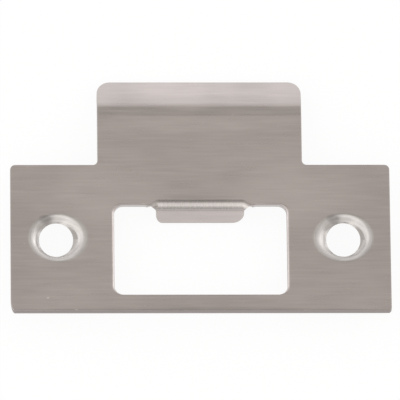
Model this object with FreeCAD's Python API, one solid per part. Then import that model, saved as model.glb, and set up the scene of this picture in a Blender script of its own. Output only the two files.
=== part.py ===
import FreeCAD, Part
import math
import os

# Door strike plate: a T-shaped plate of sheet steel with a bent lip, a latch opening with a bent tab, and two
# pressed screw dimples. Lengths are in millimetres, angles in degrees.
# Frame: X along the plate, Y towards the lip, Z out of the finished face. The origin is on the back face,
# midway between the screw holes.

# Sheet and plate. The plate's length follows from the opening, the screw holes beside it and their end margins.
SHEET = 1.5
PLATE_HEIGHT = 28.575
TOP_CORNER = 0.95
BOTTOM_CORNER_LEFT = 1.0
BOTTOM_CORNER_RIGHT = 0.6
EDGE_ROLL = 0.3

# Lip: a flat run past the plate's upper edge, a shallow crease, a short facet, a bend and a sloping flange
LIP_WIDTH = 37.7
LIP_ROOT = 0.85
LIP_RUN = 9.7625
LIP_CREASE_ANGLE = 9.0
LIP_CREASE_INNER = 0.3
LIP_FACET = 1.4
LIP_ANGLE = 27.5
LIP_BEND_INNER = 2.5
LIP_FLANGE = 5.558
LIP_CORNER_ACROSS = 2.4
LIP_CORNER_ALONG = 3.15

# Latch opening, with the band of plate under it
OPENING_LENGTH = 31.75
OPENING_HEIGHT = 17.75
OPENING_MARGIN = 3.1125
OPENING_CORNER = 1.7

# Tab bent back from the opening's upper edge. The curve of its roots leans into their corner by 0.71 for an
# ellipse, and by less where it is flatter.
TAB_WIDTH = 16.2
TAB_FLAT = 3.3
TAB_ANGLE = 60.0
TAB_BEND_INNER = 0.45
TAB_SETBACK = 1.025
TAB_ROOT_ACROSS = 2.1
TAB_ROOT_ALONG = 1.4
TAB_ROOT_LEAN = 0.28
TAB_ROLL_FADE = 1.5
TAB_CORNER_LEFT = 1.35
TAB_CORNER_RIGHT = 2.2

# Screw holes in pressed dimples: from the opening's end to a hole's centre, and on to the plate's end.
# The dimples sit slightly to one side of the holes.
HOLE_GAP = 10.525
HOLE_MARGIN = 8.525
HOLE_RADIUS = 3.23
HOLE_LAND = 0.35
HOLE_BREAK_ANGLE = 30.0
DIMPLE_DEPTH = 1.15
DIMPLE_FLOOR_RADIUS = 3.65
DIMPLE_SLOPE = 40.0
DIMPLE_RIM = 0.7
DIMPLE_WALL = 1.15
DIMPLE_FLOOR = 1.05
DIMPLE_BACK_RIM = 0.6
DIMPLE_SHIFT_LEFT = 0.4
DIMPLE_SHIFT_RIGHT = 0.15

# Places that follow from these sizes
HALF_OPENING = OPENING_LENGTH / 2
HOLE_X = HALF_OPENING + HOLE_GAP
HALF_LENGTH = HOLE_X + HOLE_MARGIN
HALF_HEIGHT = PLATE_HEIGHT / 2
HALF_LIP = LIP_WIDTH / 2
OPENING_BOTTOM = OPENING_MARGIN - HALF_HEIGHT
OPENING_TOP = OPENING_BOTTOM + OPENING_HEIGHT
CREASE_Y = HALF_HEIGHT + LIP_RUN

X_AXIS = FreeCAD.Vector(1, 0, 0)
Z_AXIS = FreeCAD.Vector(0, 0, 1)


def vec(x, y, z=0.0):
    """A point or direction."""
    return FreeCAD.Vector(x, y, z)


def line(a, b):
    """A straight edge."""
    return Part.makeLine(a, b)


def arc(a, middle, b):
    """A circular edge through three points."""
    return Part.Arc(a, middle, b).toShape()


def rounded_loop(corners):
    """A closed wire in the XY plane through corners given as (x, y, radius)."""
    count = len(corners)
    entries = []
    for i in range(count):
        x, y, radius = corners[i]
        here = vec(x, y)
        to_last = (vec(*corners[i - 1][:2]) - here).normalize()
        to_next = (vec(*corners[(i + 1) % count][:2]) - here).normalize()
        half = to_last.getAngle(to_next) / 2
        setback = radius / math.tan(half)
        bisector = (to_last + to_next).normalize()
        middle = here + bisector * (radius / math.sin(half) - radius)
        entries.append((here + to_last * setback, middle, here + to_next * setback, radius))
    edges = []
    for i in range(count):
        start, middle, end, radius = entries[i]
        if radius > 0:
            edges.append(arc(start, middle, end))
        edges.append(line(end, entries[(i + 1) % count][0]))
    return Part.Wire(edges)


def prism(loop, bottom, top):
    """The solid over a loop of the XY plane, between two heights."""
    face = Part.Face(loop)
    face.translate(Z_AXIS * bottom)
    return face.extrude(Z_AXIS * (top - bottom))


def tilted(shape, turn, y, z):
    """The shape turned about X, in degrees, then moved to a point of the YZ plane."""
    placed = shape.copy()
    placed.rotate(vec(0, 0), X_AXIS, turn)
    placed.translate(vec(0, y, z))
    return placed


def rim_edges(solid):
    """The edges between the finished face, flat or sloping, and the cut edge round it."""
    chosen = []
    for edge in solid.Edges:
        faces = solid.ancestorsOfType(edge, Part.Face)
        if len(faces) != 2:
            continue
        middle = edge.valueAt((edge.FirstParameter + edge.LastParameter) / 2)
        rises = sorted(face.normalAt(*face.Surface.parameter(middle)).z for face in faces)
        if rises[1] > 0.7 and rises[0] < 0.1:
            chosen.append(edge)
    return chosen


class Lip:
    """The lip: crease, facet and bend, each tangent to the next, then the flange.

    Its section is kept as points (y, z) of the finished face with the slope at each.
    """

    def __init__(self):
        self.points = [(CREASE_Y, SHEET, 0.0)]
        self.turn(LIP_CREASE_INNER + SHEET, math.radians(LIP_CREASE_ANGLE))
        self.run(LIP_FACET)
        self.turn(LIP_BEND_INNER + SHEET, math.radians(LIP_ANGLE))

    def turn(self, radius, target):
        """Adds the middle and the end of an arc that turns the sheet to the target slope."""
        y, z, start = self.points[-1]
        for angle in ((start + target) / 2, target):
            dy = radius * (math.sin(angle) - math.sin(start))
            dz = radius * (math.cos(angle) - math.cos(start))
            self.points.append((y + dy, z + dz, angle))

    def run(self, length):
        """Adds a straight stretch."""
        y, z, angle = self.points[-1]
        self.points.append((y + length * math.cos(angle), z - length * math.sin(angle), angle))

    def front(self, i):
        """A point of the profile on the finished face, at the lip's left side."""
        y, z, angle = self.points[i]
        return vec(-HALF_LIP, y, z)

    def back(self, i):
        """The point behind it on the sheet's other face."""
        y, z, angle = self.points[i]
        return vec(-HALF_LIP, y - SHEET * math.sin(angle), z - SHEET * math.cos(angle))

    def bend_solid(self):
        """The crease, the facet and the bend across the lip's width."""
        f = self.front
        b = self.back
        edges = [
            arc(f(0), f(1), f(2)),
            line(f(2), f(3)),
            arc(f(3), f(4), f(5)),
            line(f(5), b(5)),
            arc(b(5), b(4), b(3)),
            line(b(3), b(2)),
            arc(b(2), b(1), b(0)),
            line(b(0), f(0)),
        ]
        return Part.Face(Part.Wire(edges)).extrude(X_AXIS * LIP_WIDTH)

    def flange_solid(self):
        """The sloping flange with its two rounded corners."""
        inner = HALF_LIP - LIP_CORNER_ACROSS
        shoulder = LIP_FLANGE - LIP_CORNER_ALONG
        edges = [line(vec(-HALF_LIP, 0), vec(HALF_LIP, 0)), line(vec(HALF_LIP, 0), vec(HALF_LIP, shoulder))]
        for side in (1, -1):
            crown = vec(side * inner, LIP_FLANGE)
            flank = vec(side * inner - LIP_CORNER_ACROSS, shoulder)
            curve = Part.Ellipse(crown, flank, vec(side * inner, shoulder))
            first, last = (1.5 * math.pi, 2 * math.pi) if side > 0 else (0, math.pi / 2)
            edges.append(Part.ArcOfEllipse(curve, first, last).toShape())
            if side > 0:
                edges.append(line(crown, vec(-inner, LIP_FLANGE)))
        edges.append(line(vec(-HALF_LIP, shoulder), vec(-HALF_LIP, 0)))
        flat = prism(Part.Wire(edges), -SHEET, 0)
        y, z, angle = self.points[-1]
        return tilted(flat, -LIP_ANGLE, y, z)


class Tab:
    """The tab: a bend that starts above the opening's upper edge, then a flat.

    Beside the tab, over the width of its root fillets, the bend dies out into the flat plate.
    """

    def __init__(self):
        self.angle = math.radians(TAB_ANGLE)
        self.radius = TAB_BEND_INNER + SHEET
        self.bend_length = self.radius * self.angle
        self.start_y = OPENING_TOP + TAB_SETBACK
        self.side_x = TAB_WIDTH / 2
        self.root_x = self.side_x + TAB_ROOT_ACROSS
        self.plain_x = self.root_x + TAB_ROLL_FADE
        self.root_end = TAB_SETBACK + TAB_ROOT_ALONG

    def share(self, x):
        """The sheet's share of the tab's curvature: all of it across the tab, none past the roots."""
        if abs(x) <= self.side_x:
            return 1.0
        t = (self.root_x - abs(x)) / TAB_ROOT_ACROSS
        return t * t * (3 - 2 * t)

    def at(self, x, along, depth=0.0):
        """A point of the bent sheet: how far across, how far past the bend line, how deep under the face."""
        share = self.share(x)
        if share < 1e-9:
            return vec(x, self.start_y - along, SHEET - depth)
        outer = self.radius / share
        turn = min(along, self.bend_length) / outer
        past = max(0.0, along - self.bend_length)
        r = outer - depth
        y = self.start_y - r * math.sin(turn) - past * math.cos(turn)
        return vec(x, y, SHEET - outer + r * math.cos(turn) - past * math.sin(turn))

    def section(self, x):
        """The closed outline of the bent sheet at a place across the tab or its root."""
        length = self.bend_length
        stops = (0, length / 2, length, length + TAB_FLAT / 2)
        front = [self.at(x, along) for along in stops]
        back = [self.at(x, along, SHEET) for along in stops]
        flat = self.share(x) < 1e-9
        top = line(front[0], front[2]) if flat else arc(*front[:3])
        under = line(back[2], back[0]) if flat else arc(*reversed(back[:3]))
        tip = [line(front[2], front[3]), line(front[3], back[3]), line(back[3], back[2])]
        return Part.Wire([top, *tip, under, line(back[0], front[0])])

    def bend_solid(self):
        """The bend across the tab's width."""
        return Part.Face(self.section(-self.side_x)).extrude(X_AXIS * TAB_WIDTH)

    def root_solid(self, side):
        """The stretch beside the tab where the bend dies out."""
        steps = 6
        across = [self.side_x + TAB_ROOT_ACROSS * step / steps for step in range(steps + 1)]
        return Part.makeLoft([self.section(side * x) for x in across], True, False)

    def root_curve(self, t):
        """A conic from the opening's edge to the tab's side, as shares of the way across and down."""
        corner = 2 * TAB_ROOT_LEAN * t * (1 - t)
        total = (1 - t) ** 2 + corner + t**2
        return (corner + t**2) / total, t**2 / total

    def root_wall(self, side):
        """The cut edge round the root fillet, square to the sheet, run on past both its ends."""
        over = -SHEET / 3
        under = SHEET + TAB_BEND_INNER / 2
        curves = []
        for depth in (over, under):
            points = []
            for step in range(17):
                across, down = self.root_curve(step / 16)
                x = side * (self.root_x - TAB_ROOT_ACROSS * across)
                points.append(self.at(x, TAB_SETBACK + TAB_ROOT_ALONG * down, depth))
            end_turn = min(self.root_end, self.bend_length) / self.radius
            onward = vec(0, -math.cos(end_turn), -math.sin(end_turn))
            curve = Part.BSplineCurve()
            curve.interpolate(Points=points, InitialTangent=X_AXIS * -side, FinalTangent=onward)
            curves.append(curve.toShape())
        fillet = Part.makeRuledSurface(curves[0], curves[1])
        outward = X_AXIS * (side * SHEET)
        first = [curve.Vertexes[0].Point for curve in curves]
        beside = Part.makePolygon([first[0], first[1], first[1] + outward, first[0] + outward, first[0]])
        last = [curve.Vertexes[-1].Point for curve in curves]
        far = self.bend_length + TAB_FLAT
        below = [self.at(side * self.side_x, far, depth) for depth in (4 * over, under)]
        down = Part.makePolygon([last[0], last[1], below[1], below[0], last[0]])
        return Part.makeShell([Part.Face(beside), fillet, Part.Face(down)])

    def flat_solid(self):
        """The tab's flat with its two rounded corners."""
        loop = rounded_loop(
            [
                (-self.side_x, 0, 0),
                (self.side_x, 0, 0),
                (self.side_x, TAB_FLAT, TAB_CORNER_RIGHT),
                (-self.side_x, TAB_FLAT, TAB_CORNER_LEFT),
            ]
        )
        x, y, z = self.at(0, self.bend_length)
        return tilted(prism(loop, 0, SHEET), 180 + TAB_ANGLE, y, z)

    def solid(self):
        """The whole tab with its roots, trimmed to its outline."""
        whole = self.bend_solid().multiFuse([self.flat_solid(), self.root_solid(1), self.root_solid(-1)])
        pieces = whole.generalFuse([self.root_wall(1), self.root_wall(-1)])[0].Solids
        return max(pieces, key=lambda solid: solid.Volume).removeSplitter()

    def plain_solid(self, side):
        """The stretch of plate past a root where the opening's rolled edge starts."""
        sections = []
        for x, e in ((self.root_x, EDGE_ROLL / 8), (self.plain_x, EDGE_ROLL)):
            rise = e * (1 - math.sqrt(0.5))
            start = vec(side * x, self.start_y, SHEET)
            touch = vec(side * x, OPENING_TOP + e, SHEET)
            crown = vec(side * x, OPENING_TOP + rise, SHEET - rise)
            flank = vec(side * x, OPENING_TOP, SHEET - e)
            foot = vec(side * x, OPENING_TOP, 0)
            heel = vec(side * x, self.start_y, 0)
            upper = [line(start, touch), arc(touch, crown, flank)]
            lower = [line(flank, foot), line(foot, heel), line(heel, start)]
            sections.append(Part.Wire(upper + lower))
        return Part.makeLoft(sections, True, True)


class Dimple:
    """A pressed dimple with a flat floor round the screw hole."""

    def __init__(self, hole_x, shift):
        self.hole = vec(hole_x, 0)
        self.centre = vec(hole_x + shift, 0)
        self.slope = math.radians(DIMPLE_SLOPE)
        self.floor_z = SHEET - DIMPLE_DEPTH
        self.back_z = self.floor_z - DIMPLE_FLOOR
        self.mouth = DIMPLE_FLOOR_RADIUS + DIMPLE_DEPTH / math.tan(self.slope)
        self.rim = self.mouth + DIMPLE_RIM * math.tan(self.slope / 2)
        self.back_mouth = self.back_radius(0)
        self.back_rim = self.back_mouth + DIMPLE_BACK_RIM * math.tan(self.slope / 2)
        self.outside = max(self.rim, self.back_rim) + SHEET / 4

    def back_radius(self, z):
        """The radius of the cone behind the dimple at a height."""
        r = DIMPLE_FLOOR_RADIUS + DIMPLE_WALL * math.sin(self.slope)
        at = self.floor_z - DIMPLE_WALL * math.cos(self.slope)
        return r + (z - at) / math.tan(self.slope)

    def bent(self, rim, z, radius):
        """Start, middle and end of an arc that turns from flat, at a radius and height, into the cone."""
        found = []
        for angle in (0, self.slope / 2, self.slope):
            found.append(vec(rim - radius * math.sin(angle), 0, z - radius * (1 - math.cos(angle))))
        return found

    def ring_solid(self):
        """The pressed sheet from the floor out to the flat plate."""
        inner = HOLE_RADIUS / 2
        rim = self.bent(self.rim, SHEET, DIMPLE_RIM)
        back_rim = self.bent(self.back_rim, 0, DIMPLE_BACK_RIM)
        floor_edge = vec(DIMPLE_FLOOR_RADIUS, 0, self.floor_z)
        back_edge = vec(self.back_radius(self.back_z), 0, self.back_z)
        top = vec(self.outside, 0, SHEET)
        bottom = vec(self.outside, 0, 0)
        edges = [
            line(top, rim[0]),
            arc(*rim),
            line(rim[2], floor_edge),
            line(floor_edge, vec(inner, 0, self.floor_z)),
            line(vec(inner, 0, self.floor_z), vec(inner, 0, self.back_z)),
            line(vec(inner, 0, self.back_z), back_edge),
            line(back_edge, back_rim[2]),
            arc(*reversed(back_rim)),
            line(back_rim[0], bottom),
            line(bottom, top),
        ]
        ring = Part.Face(Part.Wire(edges)).revolve(vec(0, 0), Z_AXIS, 360)
        ring.translate(self.centre)
        return ring

    def disc_solid(self):
        """The disc of flat plate that the ring takes the place of."""
        return Part.makeCylinder(self.outside, SHEET, self.centre)

    def hole_solid(self):
        """The punched hole: a straight land, then the wider break towards the back."""
        land_z = self.floor_z - HOLE_LAND
        end_z = self.back_z - SHEET
        wide = HOLE_RADIUS + (land_z - end_z) * math.tan(math.radians(HOLE_BREAK_ANGLE))
        top_z = 2 * SHEET
        corners = [
            vec(0, 0, top_z),
            vec(HOLE_RADIUS, 0, top_z),
            vec(HOLE_RADIUS, 0, land_z),
            vec(wide, 0, end_z),
            vec(0, 0, end_z),
            vec(0, 0, top_z),
        ]
        tool = Part.Face(Part.makePolygon(corners)).revolve(vec(0, 0), Z_AXIS, 360)
        tool.translate(self.hole)
        return tool


lip = Lip()
tab = Tab()
dimples = [Dimple(-HOLE_X, DIMPLE_SHIFT_LEFT), Dimple(HOLE_X, DIMPLE_SHIFT_RIGHT)]

# Blank: plate and lip, with the finished face's outer edge rolled over
outline = rounded_loop(
    [
        (-HALF_LENGTH, -HALF_HEIGHT, BOTTOM_CORNER_LEFT),
        (HALF_LENGTH, -HALF_HEIGHT, BOTTOM_CORNER_RIGHT),
        (HALF_LENGTH, HALF_HEIGHT, TOP_CORNER),
        (HALF_LIP, HALF_HEIGHT, LIP_ROOT),
        (HALF_LIP, CREASE_Y, 0),
        (-HALF_LIP, CREASE_Y, 0),
        (-HALF_LIP, HALF_HEIGHT, LIP_ROOT),
        (-HALF_LENGTH, HALF_HEIGHT, TOP_CORNER),
    ]
)
blank = prism(outline, 0, SHEET).multiFuse([lip.bend_solid(), lip.flange_solid()]).removeSplitter()
blank = blank.makeFillet(EDGE_ROLL, rim_edges(blank))

# Latch opening, with its edge rolled over
window = rounded_loop(
    [
        (-HALF_OPENING, OPENING_BOTTOM, OPENING_CORNER),
        (HALF_OPENING, OPENING_BOTTOM, OPENING_CORNER),
        (HALF_OPENING, OPENING_TOP, OPENING_CORNER),
        (-HALF_OPENING, OPENING_TOP, OPENING_CORNER),
    ]
)
pierced = blank.cut(prism(window, -SHEET, 2 * SHEET))
near = Part.Face(window).BoundBox


def of_window(edge):
    """Whether an edge runs round the opening on the finished face."""
    box = edge.BoundBox
    inside = near.XMin - 1e-4 < box.XMin and box.XMax < near.XMax + 1e-4
    return inside and near.YMin - 1e-4 < box.YMin and box.YMax < near.YMax + 1e-4 and box.ZMin > SHEET - 1e-4


pierced = pierced.makeFillet(EDGE_ROLL, [e for e in pierced.Edges if of_window(e)])

# Tab, in the stretch of the opening's upper edge that it is bent from
gap = Part.makeBox(
    2 * tab.plain_x, TAB_SETBACK + SHEET, 3 * SHEET, vec(-tab.plain_x, OPENING_TOP - SHEET, -SHEET)
)
plate = pierced.cut(gap)
pieces = [tab.solid(), tab.plain_solid(1), tab.plain_solid(-1)]
for dimple in dimples:
    plate = plate.cut(dimple.disc_solid())
    pieces.append(dimple.ring_solid())
plate = plate.multiFuse(pieces).removeSplitter()
for dimple in dimples:
    plate = plate.cut(dimple.hole_solid())

os.makedirs("parts", exist_ok=True)
plate.Solids[0].exportStep("parts/strike_plate.step")
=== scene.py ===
import logging
import math
from collections.abc import Callable
from dataclasses import dataclass, field
from enum import Enum

import bmesh
import bpy
from mathutils import Matrix, Vector


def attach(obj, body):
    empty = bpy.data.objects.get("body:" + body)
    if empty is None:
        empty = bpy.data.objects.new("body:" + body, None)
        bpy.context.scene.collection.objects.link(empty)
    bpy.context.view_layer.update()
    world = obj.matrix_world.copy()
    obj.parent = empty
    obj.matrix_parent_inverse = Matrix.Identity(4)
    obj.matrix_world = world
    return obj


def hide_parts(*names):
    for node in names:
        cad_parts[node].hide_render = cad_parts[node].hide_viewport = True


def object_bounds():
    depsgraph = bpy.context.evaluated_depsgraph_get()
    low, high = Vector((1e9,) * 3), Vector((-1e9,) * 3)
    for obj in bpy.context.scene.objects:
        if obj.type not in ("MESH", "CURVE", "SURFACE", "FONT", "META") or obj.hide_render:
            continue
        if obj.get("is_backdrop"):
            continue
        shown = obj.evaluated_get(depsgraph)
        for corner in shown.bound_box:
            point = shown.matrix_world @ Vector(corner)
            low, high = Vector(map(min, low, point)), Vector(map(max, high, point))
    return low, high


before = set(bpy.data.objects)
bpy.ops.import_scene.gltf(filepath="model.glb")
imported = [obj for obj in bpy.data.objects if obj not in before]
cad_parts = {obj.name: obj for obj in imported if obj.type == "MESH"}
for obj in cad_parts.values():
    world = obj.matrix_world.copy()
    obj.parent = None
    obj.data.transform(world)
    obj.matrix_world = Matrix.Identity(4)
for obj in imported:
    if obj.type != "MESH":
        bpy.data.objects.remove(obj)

log = logging.getLogger("strike_plate")

Vec = tuple[float, float, float]
Colour = tuple[float, float, float, float]

MM = 0.001
NODE = "strike_plate"
BODY = "root"
WHITE: Colour = (1, 1, 1, 1)

NEAR = 1e-3  # millimetres within which two places are the same
MARGIN = 0.1  # millimetres round a feature that still belong to it
FLAT_ANGLE = 0.001  # radians within which two edges are one line
WALL = 0.5  # a face whose normal rises or falls less than this is a wall
LEVEL = 0.9  # a face whose normal rises more than this is flat
TINY = 0.001  # the least that a length is divided by


class Surface(Enum):
    """The plate's kinds of surface, in the order of its material slots."""

    FACE = 0
    SHEARED = 1
    BACK = 2


@dataclass(frozen=True)
class Grain:
    """A fine uneven pattern in a finish.

    Attributes:
        per_mm: how many marks there are to a millimetre, along each axis.
        detail: how many finer layers it has.
        rough: how strong the finer layers are.
        shift: moves the pattern, so that two of them differ.
        shade: how much it lightens and darkens the metal.
        height: how far it stands out, against the finish's own relief.
        spread: how much it adds to the finish's roughness.
    """

    per_mm: Vec
    detail: float = 2.0
    rough: float = 0.5
    shift: float = 0.0
    shade: float = 0.0
    height: float = 1.0
    spread: float = 0.0


class Element(Enum):
    """The kinds of mesh element, each with the name of its list."""

    VERT = "verts"
    EDGE = "edges"
    FACE = "faces"


class Value:
    """The output of a node, for Python expressions that add Math nodes."""

    def __init__(self, nodes: "Nodes", node: bpy.types.Node, output: str | int) -> None:
        """Wraps one output.

        Args:
            nodes: the tree that the node is in.
            node: the node.
            output: the output's name or number.
        """
        self.nodes = nodes
        self.node = node
        self.socket = node.outputs[output]

    def output(self, name: str) -> "Value":
        """Another output of the same node."""
        return Value(self.nodes, self.node, name)

    def math(self, operation: str, *others: "Value | float") -> "Value":
        """One Math node with this value first."""
        return self.nodes.math(operation, self, *others)

    def __add__(self, other: "Value | float") -> "Value":
        """The sum."""
        return self.math("ADD", other)

    __radd__ = __add__

    def __sub__(self, other: "Value | float") -> "Value":
        """The difference."""
        return self.math("SUBTRACT", other)

    def __rsub__(self, other: float) -> "Value":
        """The difference, the other way round."""
        return self.nodes.math("SUBTRACT", other, self)

    def __mul__(self, other: "Value | float") -> "Value":
        """The product."""
        return self.math("MULTIPLY", other)

    __rmul__ = __mul__

    def __truediv__(self, other: "Value | float") -> "Value":
        """The quotient."""
        return self.math("DIVIDE", other)

    def __abs__(self) -> "Value":
        """The size without the sign."""
        return self.math("ABSOLUTE")

    def ramp(self, low: float, high: float) -> "Value":
        """A smooth step.

        Args:
            low: where it is still 0.
            high: where it reaches 1, which may be the lower of the two.

        Returns:
            the step's height.
        """
        rising = high > low
        sockets = {"Value": self, "From Min": min(low, high), "From Max": max(low, high),
                   "To Min": 0.0 if rising else 1.0, "To Max": 1.0 if rising else 0.0}
        return self.nodes.add("ShaderNodeMapRange", {"interpolation_type": "SMOOTHSTEP"}, sockets)

    def band(self, low: float, high: float, soft: float) -> "Value":
        """1 between two values and 0 outside them, with a soft step at each end."""
        return self.ramp(low - soft / 2, low + soft / 2) * self.ramp(high + soft / 2, high - soft / 2)


class Nodes:
    """The node tree of a material or of the world."""

    def __init__(self, owner: bpy.types.Material | bpy.types.World) -> None:
        """Empties the owner's tree.

        Args:
            owner: what the tree belongs to.
        """
        owner.use_nodes = True
        self.tree = owner.node_tree
        self.tree.nodes.clear()

    def add(self, kind: str, settings: dict | None = None, sockets: dict | None = None,
            output: str | int = 0) -> Value | None:
        """Adds any node.

        Args:
            kind: the node's type.
            settings: its own properties, set first.
            sockets: the value or the link of each input, by name or number.
            output: the output to read.

        Returns:
            that output, or nothing from a node that has none.
        """
        node = self.tree.nodes.new(kind)
        for name, value in (settings or {}).items():
            setattr(node, name, value)
        for key, value in (sockets or {}).items():
            if isinstance(value, Value):
                self.tree.links.new(value.socket, node.inputs[key])
            else:
                node.inputs[key].default_value = value
        return Value(self, node, output) if node.outputs else None

    def math(self, operation: str, *values: Value | float) -> Value:
        """One Math node."""
        return self.add("ShaderNodeMath", {"operation": operation}, dict(enumerate(values)))

    def vector(self, operation: str, *values: Value | Vec) -> Value:
        """One Vector Math node."""
        return self.add("ShaderNodeVectorMath", {"operation": operation}, dict(enumerate(values)))

    def place(self) -> Value:
        """The place on the piece, in millimetres."""
        at = self.add("ShaderNodeTexCoord", output="Object")
        return self.vector("MULTIPLY", at, (1 / MM,) * 3)

    def axes(self, place: Value) -> tuple[Value, Value, Value]:
        """The three numbers of a vector."""
        split = self.add("ShaderNodeSeparateXYZ", sockets={0: place})
        return split, split.output("Y"), split.output("Z")

    def noise(self, place: Value, grain: Grain) -> Value:
        """Soft noise about zero, stretched along the axes.

        Args:
            place: where to read it, in millimetres.
            grain: the pattern.

        Returns:
            the noise, mostly between -0.3 and 0.3.
        """
        at = self.vector("MULTIPLY_ADD", place, grain.per_mm, (grain.shift,) * 3)
        sockets = {"Vector": at, "Scale": 1.0, "Detail": grain.detail, "Roughness": grain.rough}
        return self.add("ShaderNodeTexNoise", sockets=sockets) - 0.5

    def tint(self, factor: Value, low: Colour, high: Colour | Value) -> Value:
        """A colour between two."""
        return self.add("ShaderNodeMix", {"data_type": "RGBA"}, {0: factor, 6: low, 7: high}, 2)

    def scaled(self, colour: Colour | Value, factor: Value) -> Value:
        """A colour made lighter or darker."""
        first = colour if isinstance(colour, Value) else colour[:3]
        return self.add("ShaderNodeVectorMath", {"operation": "SCALE"}, {0: first, "Scale": factor})

    def metal(self, colour: Value, roughness: Value, height: Value, depth: float) -> None:
        """Ends a material in a metal surface.

        Args:
            colour: what it reflects head on.
            roughness: how far it spreads reflections.
            height: its fine relief.
            depth: how deep the relief is, in millimetres.
        """
        bump = self.add("ShaderNodeBump", sockets={"Strength": 1.0, "Distance": depth * MM, "Height": height})
        sockets = {"Base Color": colour, "Metallic": 1.0, "Roughness": roughness, "Normal": bump}
        surface = self.add("ShaderNodeBsdfPrincipled", sockets=sockets)
        self.add("ShaderNodeOutputMaterial", sockets={"Surface": surface})


class Bench:
    """One mesh object on the bench, worked on in edit mode with selections made by place."""

    def __init__(self, name: str) -> None:
        """Starts an empty mesh object and makes it the active one.

        Args:
            name: the object's name.
        """
        mesh = bpy.data.meshes.new(name)
        self.obj = bpy.data.objects.new(name, mesh)
        bpy.context.scene.collection.objects.link(self.obj)
        self.activate()

    def activate(self) -> None:
        """Leaves this object alone selected and active."""
        self.leave()
        bpy.ops.object.select_all(action="DESELECT")
        self.obj.select_set(True)
        bpy.context.view_layer.objects.active = self.obj

    def edit(self) -> None:
        """Enters edit mode on this object."""
        if self.obj.mode != "EDIT":
            self.activate()
            bpy.ops.object.mode_set(mode="EDIT")

    def leave(self) -> None:
        """Goes back to object mode."""
        if bpy.context.mode != "OBJECT":
            bpy.ops.object.mode_set(mode="OBJECT")

    def bm(self) -> bmesh.types.BMesh:
        """The mesh as it is being edited."""
        self.edit()
        return bmesh.from_edit_mesh(self.obj.data)

    def clear(self) -> None:
        """Selects nothing."""
        self.edit()
        bpy.ops.mesh.select_all(action="DESELECT")

    def everything(self) -> None:
        """Selects the whole mesh."""
        self.edit()
        bpy.ops.mesh.select_all(action="SELECT")

    def choose(self, element: Element, test: Callable[..., bool]) -> int:
        """Selects the elements of one kind that pass a test.

        Args:
            element: the kind.
            test: takes one of them and says whether to select it.

        Returns:
            how many were selected.
        """
        self.edit()
        bpy.ops.mesh.select_mode(type=element.name)
        self.clear()
        mesh = self.bm()
        mesh.normal_update()
        chosen = [one for one in getattr(mesh, element.value) if test(one)]
        for one in chosen:
            one.select_set(True)
        mesh.select_flush_mode()
        bmesh.update_edit_mesh(self.obj.data)
        return len(chosen)

    def verts(self, test: Callable[[Vector], bool]) -> int:
        """Selects the vertices whose place passes a test, and counts them."""
        return self.choose(Element.VERT, lambda v: test(v.co))

    def edges(self, test: Callable[[Vector, Vector], bool]) -> int:
        """Selects the edges whose two ends pass a test, and counts them."""
        return self.choose(Element.EDGE, lambda e: test(e.verts[0].co, e.verts[1].co))

    def faces(self, test: Callable[[Vector, Vector], bool]) -> int:
        """Selects the faces whose middle and normal pass a test, and counts them."""
        return self.choose(Element.FACE, lambda f: test(f.calc_center_median(), f.normal))

    def mark(self, surface: Surface) -> None:
        """Gives the selected faces their kind of surface.

        Args:
            surface: the kind.
        """
        for f in self.bm().faces:
            if f.select:
                f.material_index = surface.value
        bmesh.update_edit_mesh(self.obj.data)

    def mark_beside(self, surface: Surface) -> None:
        """Gives the faces beside the selected edges their kind of surface.

        Args:
            surface: the kind.
        """
        for e in self.bm().edges:
            if e.select:
                for f in e.link_faces:
                    f.material_index = surface.value
        bmesh.update_edit_mesh(self.obj.data)

    def rectangle(self, low: tuple[float, float], high: tuple[float, float], z: float) -> None:
        """Adds a flat rectangle, in the bench's own unit.

        Args:
            low: its lower left corner.
            high: its upper right corner.
            z: its height.
        """
        self.clear()
        middle = ((low[0] + high[0]) / 2, (low[1] + high[1]) / 2, z)
        bpy.ops.mesh.primitive_plane_add(size=1, location=middle)
        size = (high[0] - low[0], high[1] - low[1], 1)
        bpy.ops.transform.resize(value=size, center_override=middle)

    def split(self, place: Vec, normal: Vec) -> None:
        """Splits what is selected along a plane through a place in millimetres."""
        bpy.ops.mesh.bisect(plane_co=place, plane_no=normal)

    def round_corner(self, x: float, y: float, across: float, along: float, steps: int,
                     profile: float = 0.5) -> None:
        """Rounds one corner of a flat outline.

        Args:
            x: the corner's place, in millimetres.
            y: the same, along Y.
            across: how far the rounding reaches along X.
            along: how far it reaches along Y.
            steps: how many edges it gets.
            profile: 0.5 for a round corner, less for a flatter one.
        """
        corner = Vector((x, y))
        found = self.verts(lambda co: (co.xy - corner).length < NEAR)
        if found != 1:
            raise RuntimeError(f"{found} corners at {x}, {y}")
        bpy.ops.mesh.bevel(offset=across, offset_type="OFFSET", affect="VERTICES", segments=steps,
                           profile=profile, clamp_overlap=False)
        if across != along:
            bpy.ops.transform.resize(value=(1, along / across, 1), center_override=(corner.x, corner.y, 0))

    def apply(self, kind: str, **settings: object) -> None:
        """Adds a modifier, sets it and applies it.

        Args:
            kind: the modifier's type.
            settings: its properties.
        """
        self.activate()
        made = self.obj.modifiers.new(kind.title(), kind)
        for name, value in settings.items():
            setattr(made, name, value)
        bpy.ops.object.modifier_apply(modifier=made.name)


@dataclass(frozen=True)
class Sheet:
    """The sheet that the plate is cut from, and its flat outline, in millimetres."""

    thickness: float = 1.5
    length: float = 69.85
    height: float = 28.575
    top_corner: float = 0.95
    bottom_corner: float = 0.6
    worn_corner_across: float = 0.8
    worn_corner_along: float = 2.4
    roll: float = 0.3
    roll_depth: float = 0.04
    upright_roll: float = 0.78
    upright_roll_depth: float = 0.36

    @property
    def half_length(self) -> float:
        """Half of the plate's length."""
        return self.length / 2

    @property
    def half_height(self) -> float:
        """Half of the plate's height."""
        return self.height / 2


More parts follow.
